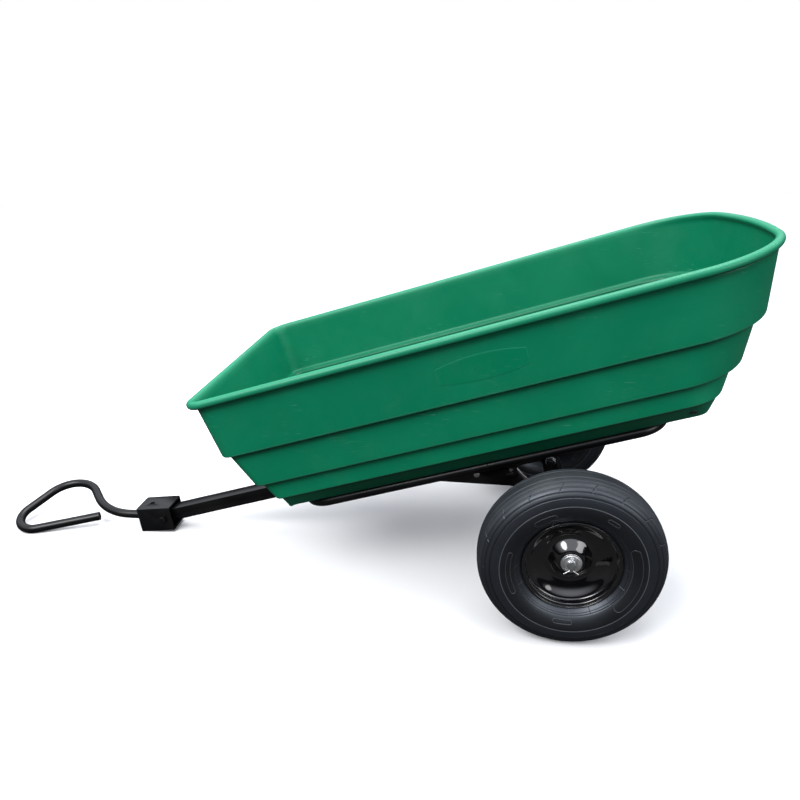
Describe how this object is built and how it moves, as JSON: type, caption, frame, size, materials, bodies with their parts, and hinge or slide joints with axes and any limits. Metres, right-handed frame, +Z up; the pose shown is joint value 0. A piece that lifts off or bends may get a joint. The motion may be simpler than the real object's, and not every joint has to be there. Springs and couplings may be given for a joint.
{
  "type": "tow behind cart",
  "caption": "Two-wheeled yard trailer with a tipping stepped tub on a tube rail, a square drawbar, a pivoting hitch box and a swivelling rod hook for towing behind a vehicle.",
  "frame": {"origin": "bottom centre of the parked cart's bounding box, on the ground", "axes": "+X from the hook towards the tub's rear, +Y to the cart's right-hand wheel as drawn, +Z up"},
  "size_m": [1.9906, 0.8614, 0.8819],
  "materials": {
    "tub_plastic": "satin moulded",
    "frame_paint": "satin black powder coat",
    "rim_paint": "gloss black enamel",
    "zinc": "bright zinc plate",
    "bare_steel": "turned",
    "tyre": "matt black rubber",
    "rubber": "matt",
    "cap_plastic": "matt",
    "bushing": "oiled nylon"
  },
  "bodies": {
    "chassis": {"drawbar": "frame_paint", "hanger_left": "frame_paint", "hanger_right": "frame_paint", "crossmember": "frame_paint", "outrigger_left": "frame_paint", "outrigger_right": "frame_paint", "hanger_bolts": "zinc", "drawbar_bolts": "zinc", "drawbar_nuts": "zinc", "hinge_bolts": "frame_paint", "hinge_inner_washers": "zinc", "hinge_outer_washers": "zinc", "hinge_nuts": "frame_paint", "lock_guide": "frame_paint", "box_pivot_bolt": "frame_paint", "box_pivot_nut": "frame_paint", "box_spacers": "frame_paint", "axle": "bare_steel", "axle_spacers": "frame_paint", "axle_inner_washers": "zinc", "axle_large_washers": "zinc", "axle_small_washers": "zinc", "cotter_pins": "zinc"},
    "tub_assembly": {"tub": "tub_plastic", "bed_rail": "frame_paint", "hinge_lug_left": "frame_paint", "hinge_lug_right": "frame_paint", "lock_lug": "frame_paint", "tub_bolts": "zinc", "tub_washers": "zinc", "tub_nuts": "zinc", "drain_plug": "rubber"},
    "hitch": {"hitch_box": "frame_paint", "hook_bushing": "frame_paint"},
    "tow_hook": {"hook": "frame_paint", "hook_washer": "zinc", "hook_nut": "zinc"},
    "lock": {"lock_pin": "zinc"},
    "wheel_left": {"tyre_left": "tyre", "rim_outer_left": "rim_paint", "rim_inner_left": "rim_paint", "hub_left": "rim_paint", "bushings_left": "bushing", "valve_stem_left": "rubber", "valve_cap_left": "cap_plastic"},
    "wheel_right": {"tyre_right": "tyre", "rim_outer_right": "rim_paint", "rim_inner_right": "rim_paint", "hub_right": "rim_paint", "bushings_right": "bushing", "valve_stem_right": "rubber", "valve_cap_right": "cap_plastic"}
  },
  "joints": [
    {"name": "tub_tip", "type": "hinge", "parent": "chassis", "child": "tub_assembly", "pos_m": [0.54464, 0, 0.35371], "axis": [0, 1, 0], "range_deg": [0, 62]},
    {"name": "wheel_left_spin", "type": "hinge", "parent": "chassis", "child": "wheel_left", "pos_m": [0.58136, 0, 0.203], "axis": [0, 1, 0], "continuous": true},
    {"name": "wheel_right_spin", "type": "hinge", "parent": "chassis", "child": "wheel_right", "pos_m": [0.58136, 0, 0.203], "axis": [0, 1, 0], "continuous": true},
    {"name": "hitch_pitch", "type": "hinge", "parent": "chassis", "child": "hitch", "pos_m": [-0.52958, 0, 0.04388], "axis": [0, 1, 0], "range_deg": [-10, 12]},
    {"name": "hook_swivel", "type": "hinge", "parent": "hitch", "child": "tow_hook", "pos_m": [-0.60641, 0, 0.0358], "axis": [0.9945, 0, 0.1045], "continuous": true},
    {"name": "lock_slide", "type": "slide", "parent": "chassis", "child": "lock", "axis": [0, -1, 0], "range_m": [0, 0.012]}
  ]
}
